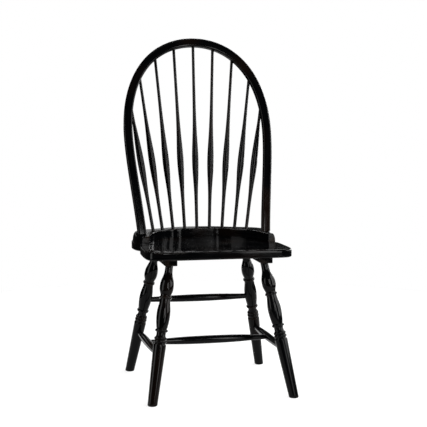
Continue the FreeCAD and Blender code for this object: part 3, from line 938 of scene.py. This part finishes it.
@dataclass
class Seat:
    """The saddled plank, the horseshoe deck on it, and the cleats under it.

    The eases are how far the poles of the outline lie before or after the place that they shape.
    """

    layout: Layout
    front_reach: float = 206.5
    rear_reach: float = 228.5
    wing_half_width: float = 223.0
    wing_at: float = -63.5
    wing_bulge: float = 2.0
    wing_fall: float = 4.0
    wing_ease: float = 20.0
    waist_half_width: float = 212.0
    waist_at: float = 1.5
    waist_fall: float = 2.0
    waist_eases: Pair = (20.0, 16.0)
    ear_half_width: float = 226.5
    ear_at: float = 76.5
    ear_fall: float = 2.0
    ear_bulge: float = 5.0
    ear_eases: Pair = (6.0, 16.0)
    front_corner_run: float = 62.0
    rear_corner: Pair = (214.0, 166.5)
    rear_crown_run: float = 62.0
    rear_crown_ease: float = 8.0
    top_round: float = 5.0
    bottom_round: float = 3.0
    saddle_depth: float = 9.0
    saddle_half_width: float = 184.0
    saddle_half_length: float = 170.0
    saddle_at: float = -27.5
    saddle_blend: float = 0.35
    saddle_opening: float = 0.75
    saddle_front: float = 1.2
    pommel_rise: float = 2.0
    pommel_width: float = 1.15
    pommel_height: Pair = (1.5, 0.5)
    pommel_share: float = 0.66
    hub_at: float = 12.0
    deck_inset: float = 3.5
    deck_shoulder: float = 10.0
    deck_inner_reach: float = 148.5
    deck_inner_run: float = 46.0
    deck_shoulder_point: Pair = (148.0, 92.0)
    deck_tip: Pair = (191.0, -27.5)
    deck_tip_ease: Pair = (12.0, 40.0)
    deck_middle_ease: Pair = (4.0, 24.0)
    deck_round: float = 3.0
    deck_side_steps: int = 11
    deck_side_spacing: float = 0.8
    deck_top_steps: int = 4
    deck_round_steps: int = 5
    deck_wall_shares: Triple = (0.33, 0.67, 1.0)
    corner_softening: float = 0.7
    corner_segments: int = 2
    corner_angle: float = 50.0
    bottom_steps: int = 4
    top_steps: int = 7
    outline_samples: int = 1200
    inner_samples: int = 1600
    half_count: int = 170
    rings: int = 66
    deck_count: int = 150
    plank_seed: float = 4.2
    deck_seed: float = 5.1

    def outline(self, inset: float) -> list[Pair]:
        """Draws the seat's left half, from the front middle round to the rear middle.

        Args:
            inset: How far the line lies inside the seat's edge.

        Returns:
            The fine outline.
        """
        front, rear = inset - self.front_reach, self.rear_reach - inset
        wing = self.wing_half_width - inset
        waist, ear = self.waist_half_width - inset, self.ear_half_width - inset
        corner_x, corner_y = self.rear_corner
        poles = [
            (0, front), (self.wing_half_width / 2, front),
            (self.wing_half_width - self.front_corner_run, front),
            (wing + self.wing_bulge, front),
            (wing + self.wing_bulge, self.wing_at - self.front_corner_run),
            (wing, self.wing_at + self.wing_ease),
            (wing - self.wing_fall, (self.wing_at + self.waist_at) / 2),
            (waist, self.waist_at - self.waist_eases[0]),
            (waist - self.waist_fall, self.waist_at + self.waist_eases[1]),
            (ear - self.ear_fall, (self.waist_at + self.ear_at) / 2 - self.ear_eases[0]),
            (ear + self.ear_bulge, self.ear_at + self.ear_eases[1]),
            (corner_x - inset, corner_y - inset),
            (self.rear_crown_run * 2 - inset,
             (self.rear_reach + corner_y) / 2 - self.rear_crown_ease - inset),
            (self.rear_crown_run, rear), (0, rear),
        ]
        return bspline(poles, self.outline_samples)

    def loop(self) -> list[tuple[Vector, Vector]]:
        """Walks round the seat's whole outline.

        Returns:
            Points, each with its outward direction.
        """
        half = resample(self.outline(0), self.half_count)
        whole = half + [(-x, y) for x, y in half[-2:0:-1]]
        count = len(whole)
        result = []
        for k, (x, y) in enumerate(whole):
            before, after = whole[k - 1], whole[(k + 1) % count]
            run = Vector((after[0] - before[0], after[1] - before[1], 0)).normalized()
            result.append((Vector((x, y, 0)), Vector((run.y, -run.x, 0))))
        return result

    def top_height(self, x: float, y: float) -> float:
        """Measures the plank's saddled top, with its low pommel at the front.

        Args:
            x: The place across.
            y: The place along.

        Returns:
            The height.
        """
        along = (y - self.saddle_at) / self.saddle_half_length
        across = x / self.saddle_half_width
        forward = min(self.saddle_front, max(0.0, -along))
        opening = 1 - self.saddle_opening * forward
        dish = self.saddle_depth * (along * along + opening * across * across - 1)
        tall, sunk = self.pommel_height
        hump = max(0.0, 1 - (across / self.pommel_width) ** 2) ** 2 * tall - sunk
        gap = dish + self.pommel_rise * forward * hump * self.pommel_share
        soft = self.saddle_blend
        return self.layout.seat_height + (gap - math.sqrt(gap * gap + soft * soft)) / 2

    def side_levels(self) -> list[Pair]:
        """Lists the plank's edge from below: rounded, upright and rounded again.

        Returns:
            The inset and the height of every level.
        """
        low, high = self.layout.plank_bottom, self.layout.seat_height
        levels = []
        for number in range(self.bottom_steps + 1):
            angle = math.radians(90 * number / self.bottom_steps)
            levels.append((self.bottom_round * (1 - math.sin(angle)),
                           low + self.bottom_round * (1 - math.cos(angle))))
        for share in QUARTERS:
            upright = high - low - self.bottom_round - self.top_round
            levels.append((0.0, low + self.bottom_round + share * upright))
        for number in range(self.top_steps + 1):
            angle = math.radians(90 * number / self.top_steps)
            levels.append((self.top_round * (1 - math.cos(angle)),
                           high - self.top_round * (1 - math.sin(angle))))
        return levels

    def build_plank(self, material: bpy.types.Material) -> None:
        """Builds the plank, whose grain runs from side to side.

        Args:
            material: Its finish.
        """
        shell = Shell("seat_plank_shaped", seed=self.plank_seed)
        loop = self.loop()
        stack = []
        for inset, height in self.side_levels():
            points = [point - out * inset + UP * height for point, out in loop]
            stack.append(shell.ring(points, (Vector((p.y, p.z, p.x)) for p in points)))
        shell.tube(stack, capped=False)
        shell.faces.append(tuple(reversed(stack[0])))
        rim = [shell.points[k].copy() for k in stack[-1]]
        previous = stack[-1]
        for number in range(1, self.rings):
            share = 1 - number / self.rings
            points = []
            for point in rim:
                x, y = point.x * share, self.hub_at + (point.y - self.hub_at) * share
                points.append(Vector((x, y, self.top_height(x, y))))
            inner = shell.ring(points, (Vector((p.y, p.z, p.x)) for p in points))
            shell.bridge(previous, inner)
            previous = inner
        top = Vector((0, self.hub_at, self.top_height(0, self.hub_at)))
        hub = shell.ring([top], [Vector((top.y, top.z, top.x))])[0]
        for k, corner in enumerate(previous):
            shell.faces.append((corner, previous[(k + 1) % len(previous)], hub))
        settle(shell.make(), material, "seat_plank")

    def deck_outer(self, inset: float) -> list[Pair]:
        """Draws the deck's outer line, from its left tip round the rear to its right tip.

        Args:
            inset: How far the line lies inside the seat's edge.

        Returns:
            Evenly spaced points.
        """
        start = self.deck_tip[1]
        half = [(x, y) for x, y in self.outline(inset) if y > start and x > 0]
        line = resample([(half[0][0], start), *half, (0.0, half[-1][1])], self.deck_count)
        return line + [(-x, y) for x, y in line[-2::-1]]

    def deck_inner(self) -> list[Pair]:
        """Draws the deck's inner line, from its left tip round the rear to its right tip.

        Returns:
            Evenly spaced points, as many as the outer line has.
        """
        (tip_x, tip_y), (turn_x, turn_y) = self.deck_tip, self.deck_shoulder_point
        (tip_in, tip_back), (middle_out, middle_back) = self.deck_tip_ease, self.deck_middle_ease
        poles = [
            (tip_x, tip_y), (tip_x - tip_in, tip_y + tip_back),
            ((tip_x + turn_x) / 2 + middle_out, (tip_y + turn_y) / 2 + middle_back),
            (turn_x, turn_y), (self.deck_inner_run * 2, self.deck_inner_reach),
            (self.deck_inner_run, self.deck_inner_reach), (0, self.deck_inner_reach),
        ]
        poles += [(-x, y) for x, y in reversed(poles[:-1])]
        return resample(bspline(poles, self.inner_samples), 2 * self.deck_count - 1)

    def deck_section(self, side: Sequence[Vector], inside: Vector, outside: Vector) -> list[Vector]:
        """Draws the deck's section: its rounded side, flat top, softened inner edge and wall.

        Args:
            side: The points of the rounded outer side, from below.
            inside: The corner over the inner line.
            outside: The outer edge of the flat top.

        Returns:
            The section's points.
        """
        section = list(side)
        wall = self.layout.deck_height - self.deck_round
        width = (outside - inside).length
        inward = (inside - outside).normalized()
        for number in range(1, self.deck_top_steps + 1):
            share = number * (1 - self.deck_round / width) / self.deck_top_steps
            section.append(outside.lerp(inside, share))
        for number in range(1, self.deck_round_steps + 1):
            angle = math.radians(90 * number / self.deck_round_steps)
            section.append(inside - inward * self.deck_round * (1 - math.sin(angle))
                           - UP * self.deck_round * (1 - math.cos(angle)))
        return section + [inside - UP * (self.deck_round + share * wall)
                          for share in self.deck_wall_shares]

    def build_deck(self, material: bpy.types.Material) -> None:
        """Builds the deck, whose grain follows its bend, with square tips.

        Args:
            material: Its finish.
        """
        shell = Shell("spindle_deck_shaped", seed=self.deck_seed)
        low, high = self.layout.seat_height, self.layout.deck_top
        outer = []
        for number in range(self.deck_side_steps + 1):
            angle = math.radians(90 * (number / self.deck_side_steps) ** self.deck_side_spacing)
            inset = self.deck_inset + self.deck_shoulder * (1 - math.cos(angle))
            outer.append((self.deck_outer(inset), low + self.layout.deck_height * math.sin(angle)))
        inner = self.deck_inner()
        stations = []
        travelled = 0.0
        for k, place in enumerate(inner):
            if k:
                travelled += math.dist(inner[k - 1], place)
            inside = Vector((*place, high))
            section = self.deck_section([Vector((*line[k], height)) for line, height in outer],
                                        inside, Vector((*outer[-1][0][k], high)))
            grain = (Vector(((p - inside).length, p.z, travelled)) for p in section)
            stations.append(shell.ring(section, grain))
        shell.tube(stations)
        piece = shell.make()
        soften = piece.modifiers.new("softened_corners", "BEVEL")
        soften.width = self.corner_softening * MM
        soften.segments = self.corner_segments
        soften.limit_method = "ANGLE"
        soften.angle_limit = math.radians(self.corner_angle)
        soften.harden_normals = True
        settle(piece, material, "spindle_deck")

    def build(self, nodes: dict[str, bpy.types.Object], wood: bpy.types.Material,
              cleats: bpy.types.Material) -> None:
        """Builds and dresses the whole seat. The cleats keep their CAD shape.

        Args:
            nodes: The frame's nodes.
            wood: The finish of the plank and the deck.
            cleats: The finish of the cleats.
        """
        self.build_plank(wood)
        self.build_deck(wood)
        for side in Side:
            dress_node(nodes[f"{side.label}_leg_cleat"], cleats)


# Back


@dataclass
class Back:
    """The bent bow and its nine spindles.

    The marks are distances along the bow from its crown to the spindles' ends, from the middle
    spindle outwards. The swell's poles are radii and distances up from the swell's middle.
    """

    layout: Layout
    foot_at: float = 45.5
    lean: float = 17.3
    height: float = 636.0
    half_width: float = 230.0
    widest_at: float = 335.0
    foot_half_width: float = 201.5
    crown_run: float = 135.0
    shoulder_run: float = 188.0
    side_run: float = 91.0
    foot_flare: float = 8.8
    foot_run: float = 118.0
    bow_width: float = 28.0
    bow_depth: float = 22.0
    bow_round: float = 7.0
    tenon: float = 8.5
    tenon_count: int = 32
    line_at: float = 5.5
    line_half_width: float = 208.0
    line_reach: float = 162.0
    spacing: float = 41.8
    marks: tuple[float, ...] = (0.0, 67.0, 140.0, 225.0, 322.0)
    spindle_foot: float = 5.3
    spindle_top: float = 4.75
    foot_shares: Pair = (0.08, 0.35)
    swell_at: float = 218.0
    swell_poles: tuple[Pair, ...] = (
        (6.0, -92.0), (10.35, -34.0), (11.25, 14.0), (9.15, 62.0), (6.0, 120.0))
    top_rise: float = 30.0
    top_run: float = 40.0
    hole_floor: float = 7.0
    limb_samples: int = 500
    arc_samples: int = 1800
    corner_samples: int = 9
    bow_steps: int = 210
    level_rings: int = 12
    spindle_count: int = 40
    spindle_step: float = 4.0
    bow_seed: float = 6.3
    spindle_seed: float = 7.0
    spindle_seed_step: float = 0.43

    def plane_point(self, x: float, z: float, y: float = 0.0) -> Vector:
        """Returns the place of a point of the bow's own plane, which leans back from the deck."""
        turn = Matrix.Rotation(math.radians(-self.lean), 3, "X")
        return Vector((0, self.foot_at, self.layout.deck_top)) + turn @ Vector((x, y, z))

    def half_line(self) -> list[Pair]:
        """Draws the centre line of the bow's left half, from its crown to its foot.

        Returns:
            Fine points in the bow's plane.
        """
        wide = self.half_width
        crown = [(0, self.height), (self.crown_run, self.height),
                 (wide, self.widest_at + self.shoulder_run), (wide, self.widest_at)]
        limb = [(wide, self.widest_at), (wide, self.widest_at - self.side_run),
                (self.foot_half_width + self.foot_flare, self.foot_run), (self.foot_half_width, 0)]
        return bspline(crown, self.limb_samples) + bspline(limb, self.limb_samples)[1:]

    def section(self) -> list[Pair]:
        """Draws the bow's section, a rectangle with rounded corners.

        Returns:
            Points across and through.
        """
        x, y, soft = self.bow_width / 2, self.bow_depth / 2, self.bow_round
        corners = []
        for across, through in ((1, -1), (1, 1), (-1, 1), (-1, -1)):
            first = (across * (x - soft), through * y)
            second = (across * x, through * (y - soft))
            if across * through > 0:
                first, second = second, first
            corners.append(bspline([first, (across * x, through * y), second], self.corner_samples))
        points = []
        for corner, following in zip(corners, corners[1:] + corners[:1]):
            points += corner
            for share in QUARTERS:
                points.append(tuple(a + (b - a) * share for a, b in zip(corner[-1], following[0])))
        return points

    def build_bow(self, material: bpy.types.Material) -> None:
        """Builds the bow, swept along its line, cut level on the deck and tenoned.

        Args:
            material: Its finish.
        """
        half = resample(self.half_line(), self.bow_steps)
        line = half[::-1] + [(-x, z) for x, z in half[1:]]
        shell = Shell("back_bow_bent", seed=self.bow_seed)
        section = self.section()
        rings = []
        travelled = 0.0
        for k, (x, z) in enumerate(line):
            before, after = line[max(k - 1, 0)], line[min(k + 1, len(line) - 1)]
            run = Vector((after[0] - before[0], after[1] - before[1])).normalized()
            if k:
                travelled += math.dist(line[k - 1], line[k])
            points = [self.plane_point(x - run.y * across, z + run.x * across, through)
                      for across, through in section]
            rings.append(shell.ring(points, (Vector((a, t, travelled)) for a, t in section)))
        self.level_feet(shell, rings)
        shell.tube(rings)
        self.add_tenons(shell)
        settle(shell.make(), material, "back_bow")

    def level_feet(self, shell: Shell, rings: list[list[int]]) -> None:
        """Bends the last rings of both limbs so that they end flat on the deck.

        Args:
            shell: The bow's mesh.
            rings: The bow's rings, from foot to foot.
        """
        for tail in (rings[:self.level_rings], rings[::-1][:self.level_rings]):
            drops = []
            for end, start in zip(tail[0], tail[-1]):
                fibre = shell.points[end] - shell.points[start]
                drops.append(fibre * ((self.layout.deck_top - shell.points[end].z) / fibre.z))
            for row, ring in enumerate(tail):
                share = (1 - row / (self.level_rings - 1)) ** 2
                for point, drop in zip(ring, drops):
                    shell.points[point] = shell.points[point] + drop * share

    def add_tenons(self, shell: Shell) -> None:
        """Adds the bow's two round tenons, which pass down through the deck.

        Args:
            shell: The bow's mesh.
        """
        depth = self.layout.deck_height + self.layout.plank_thickness - self.layout.socket_floor
        for side in Side:
            foot = self.plane_point(side.value * self.foot_half_width, 0)
            flared = side.value * (self.foot_half_width + self.foot_flare)
            down = (foot - self.plane_point(flared, self.foot_run)).normalized()
            outline = [(self.tenon, -self.tenon), (self.tenon, 0), (self.tenon, depth / -down.z)]
            shell.tube(turned(shell, foot, down, outline, self.tenon_count))

    def spindle_foot_point(self, number: int) -> Vector:
        """Finds where a spindle's axis meets the deck.

        Args:
            number: The spindle, counted from the middle one.

        Returns:
            The point.
        """
        wide, deep = self.line_half_width, self.line_reach
        angles = [math.radians(90 * k / self.arc_samples) for k in range(self.arc_samples)]
        arc = [(wide * math.sin(angle), self.line_at + deep * math.cos(angle)) for angle in angles]
        x, y = point_along(arc, abs(number) * self.spacing)
        return Vector((math.copysign(x, number) if number else 0.0, y, self.layout.deck_top))

    def bow_mark(self, number: int) -> Vector:
        """Returns the point of the bow's centre line where a spindle ends."""
        x, z = point_along(self.half_line(), self.marks[abs(number)])
        return self.plane_point(math.copysign(x, number) if number else 0.0, z)

    def spindle_outline(self, length: float) -> list[Pair]:
        """Draws a spindle's profile, from its end in the deck to its end in the bow.

        Args:
            length: The distance from the deck to the bow's centre line.

        Returns:
            Radius and place along the axis.
        """
        at, base, tip = self.swell_at, self.spindle_foot, self.spindle_top
        start, ease = (at * share for share in self.foot_shares)
        curve = [(base, ease), *((radius, at + rise) for radius, rise in self.swell_poles),
                 (tip, (length + at) / 2 + self.top_rise), (tip, length - self.top_run)]
        end = -(self.layout.deck_height - self.hole_floor)
        return profile((base, end), [[(base, start)], curve, [(tip, length)]], self.spindle_step)

    def build_spindles(self, material: bpy.types.Material) -> None:
        """Builds and dresses every spindle.

        Args:
            material: The spindles' finish.
        """
        pairs = len(self.marks) - 1
        for number in range(-pairs, pairs + 1):
            foot, top = self.spindle_foot_point(number), self.bow_mark(number)
            outline = self.spindle_outline((top - foot).length)
            node = f"spindle_{number + pairs + 1}"
            seed = self.spindle_seed + self.spindle_seed_step * number
            shell = Shell(node + "_turning", seed=seed)
            shell.tube(turned(shell, foot, (top - foot).normalized(), outline, self.spindle_count))
            settle(shell.make(), material, node)

    def build(self, material: bpy.types.Material) -> None:
        """Builds and dresses the whole back."""
        self.build_bow(material)
        self.build_spindles(material)


# Studio


@dataclass(frozen=True)
class Softbox:
    """One large soft lamp that points at the chair."""

    name: str
    place: Triple
    width: float
    height: float
    power: float
    target: Triple = (0.0, 0.0, 0.5)

    def build(self) -> None:
        """Makes the lamp."""
        lamp = bpy.data.lights.new(self.name, "AREA")
        lamp.shape = "RECTANGLE"
        lamp.size, lamp.size_y = self.width, self.height
        lamp.energy = self.power
        item = bpy.data.objects.new(self.name, lamp)
        item.location = self.place
        way = Vector(self.target) - Vector(self.place)
        item.rotation_euler = way.to_track_quat("-Z", "Y").to_euler()
        item.visible_camera = False
        bpy.context.scene.collection.objects.link(item)


@dataclass
class Studio:
    """A pale floor that runs out into a white surround, and soft lamps.

    Gloss shows the surround as dark, apart from a low white backdrop behind the chair. The
    backdrop's span is the cosine of the angle from its middle, and its rise is the Z of a
    direction, each with the range over which it fades.
    """

    floor_radius: float = 1.9
    floor_sides: int = 96
    floor_colour: float = 0.30
    floor_lift: float = 0.74
    ambient: float = 0.2
    surround: float = 0.02
    white: Triple = (1.0, 1.0, 1.0)
    backdrop_way: Pair = (0.2215, 0.9752)
    backdrop_span: Pair = (0.968, 0.978)
    backdrop_rise: Pair = (0.02, 0.06)
    lamps: tuple[Softbox, ...] = (
        Softbox("left_softbox", (-2.0, -0.5, 0.95), 0.9, 1.8, 25),
        Softbox("front_softbox", (0.08, -2.25, 1.15), 0.26, 0.95, 13),
        Softbox("front_right_softbox", (0.68, -2.14, 1.15), 0.22, 0.95, 11),
        Softbox("front_low_softbox", (0.81, -2.10, 0.42), 0.5, 0.45, 5.2, target=(0.0, 0.0, 0.4)),
        Softbox("right_front_softbox", (1.74, -0.93, 1.15), 0.8, 1.5, 38),
        Softbox("right_softbox", (2.0, 0.15, 1.15), 0.5, 1.9, 24),
        Softbox("rear_right_softbox", (1.7, 1.4, 1.1), 0.6, 1.2, 36),
        Softbox("rear_left_panel", (-0.62, 3.45, 0.85), 2.76, 0.16, 1.0),
        Softbox("rear_top_softbox", (0.55, 2.3, 2.1), 1.4, 0.8, 24),
        Softbox("overhead_softbox", (0.3, -0.4, 2.6), 1.6, 1.2, 6),
    )

    @staticmethod
    def seen(graph: Graph) -> bpy.types.NodeSocket:
        """Picks out the rays that show the background: camera, glossy and transmission.

        Args:
            graph: The nodes of the floor or the surround.

        Returns:
            1 for such a ray, else 0.
        """
        rays = graph.add("ShaderNodeLightPath").outputs
        shiny = graph.math("MAXIMUM", rays["Is Glossy Ray"], rays["Is Transmission Ray"])
        return graph.math("MAXIMUM", rays["Is Camera Ray"], shiny)

    def build_floor(self) -> None:
        """Makes the floor: a pale disc that keeps the chair's shadow."""
        work = bmesh.new()
        bmesh.ops.create_circle(work, cap_ends=True, segments=self.floor_sides,
                                radius=self.floor_radius)
        mesh = bpy.data.meshes.new("studio_floor")
        work.to_mesh(mesh)
        work.free()
        floor = bpy.data.objects.new("studio_floor", mesh)
        bpy.context.scene.collection.objects.link(floor)
        paper = bpy.data.materials.new("studio_floor_paper")
        graph = Graph.of(paper)
        matt = graph.add("ShaderNodeBsdfDiffuse", {"Color": opaque((self.floor_colour,) * 3)})
        lift = graph.math("MULTIPLY", self.seen(graph), self.floor_lift)
        glow = graph.add("ShaderNodeEmission", {"Color": opaque(self.white), "Strength": lift})
        both = graph.add("ShaderNodeAddShader", {0: matt.outputs[0], 1: glow.outputs[0]})
        graph.add("ShaderNodeOutputMaterial", {"Surface": both.outputs[0]})
        mesh.materials.append(paper)

    def build_world(self) -> None:
        """Makes the surround: soft even light, a white background, and a dark one for gloss."""
        world = bpy.data.worlds.new("studio_surround")
        bpy.context.scene.world = world
        graph = Graph.of(world)
        way = graph.add("ShaderNodeTexCoord").outputs["Generated"]
        parts = graph.add("ShaderNodeSeparateXYZ", {"Vector": way}).outputs
        heading = graph.math("MULTIPLY_ADD", parts["X"], self.backdrop_way[0],
                             graph.math("MULTIPLY", parts["Y"], self.backdrop_way[1]))
        behind = graph.spread(heading, self.backdrop_span)
        low = graph.spread(parts["Z"], self.backdrop_rise, (1.0, 0.0))
        backdrop = graph.math("MAXIMUM", graph.math("MULTIPLY", behind, low), self.surround)
        rays = graph.add("ShaderNodeLightPath").outputs
        bright = graph.math("MAXIMUM", backdrop, rays["Is Camera Ray"])
        plain = opaque(self.white)
        shown = graph.add("ShaderNodeBackground", {"Color": plain, "Strength": bright})
        light = graph.add("ShaderNodeBackground", {"Color": plain, "Strength": self.ambient})
        shaders = {0: self.seen(graph), 1: light.outputs[0], 2: shown.outputs[0]}
        mixed = graph.add("ShaderNodeMixShader", shaders)
        graph.add("ShaderNodeOutputWorld", {"Surface": mixed.outputs[0]})

    def build(self) -> None:
        """Makes the floor, the surround and the lamps."""
        self.build_floor()
        self.build_world()
        for lamp in self.lamps:
            lamp.build()


@dataclass(frozen=True)
class Viewpoint:
    """The camera, at the photograph's viewing angle."""

    place: Triple = (-0.70373, -3.18014, 0.87089)
    azimuth: float = -12.7947
    pitch: float = 5.8138
    roll: float = 0.1730
    lens: float = 87.894
    sensor: float = 36.0
    reach: float = 50.0

    def build(self) -> None:
        """Makes the camera and gives it to the scene."""
        data = bpy.data.cameras.new("view_camera")
        data.lens = self.lens
        data.sensor_width = self.sensor
        data.clip_end = self.reach
        camera = bpy.data.objects.new("view_camera", data)
        turn = Matrix.Rotation(math.radians(self.azimuth), 4, "Z")
        turn = turn @ Matrix.Rotation(math.radians(90 - self.pitch), 4, "X")
        turn = turn @ Matrix.Rotation(math.radians(self.roll), 4, "Z")
        camera.matrix_world = Matrix.Translation(self.place) @ turn
        bpy.context.scene.collection.objects.link(camera)
        bpy.context.scene.camera = camera


def main() -> None:
    """Builds the studio and every sub-assembly in order."""
    logging.basicConfig(level=logging.INFO, format="%(message)s")
    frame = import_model()
    bpy.context.scene.view_settings.view_transform = "Standard"
    Viewpoint().build()
    Studio().build()
    wood = Lacquer("black_lacquer").material()
    cleats = Lacquer("black_lacquer_cleats", source=GrainSource.ALONG_Y).material()
    zinc = ZincPlate("zinc_plate").material()
    layout = Layout()
    Seat(layout).build(frame["nodes"], wood, cleats)
    Legs(layout).build(wood)
    Stretchers(layout).build(wood)
    Back(layout).build(wood)
    for name in ("cleat_screws", "deck_screws"):
        dress_node(frame["nodes"][name], zinc)


if __name__ == "__main__":
    main()
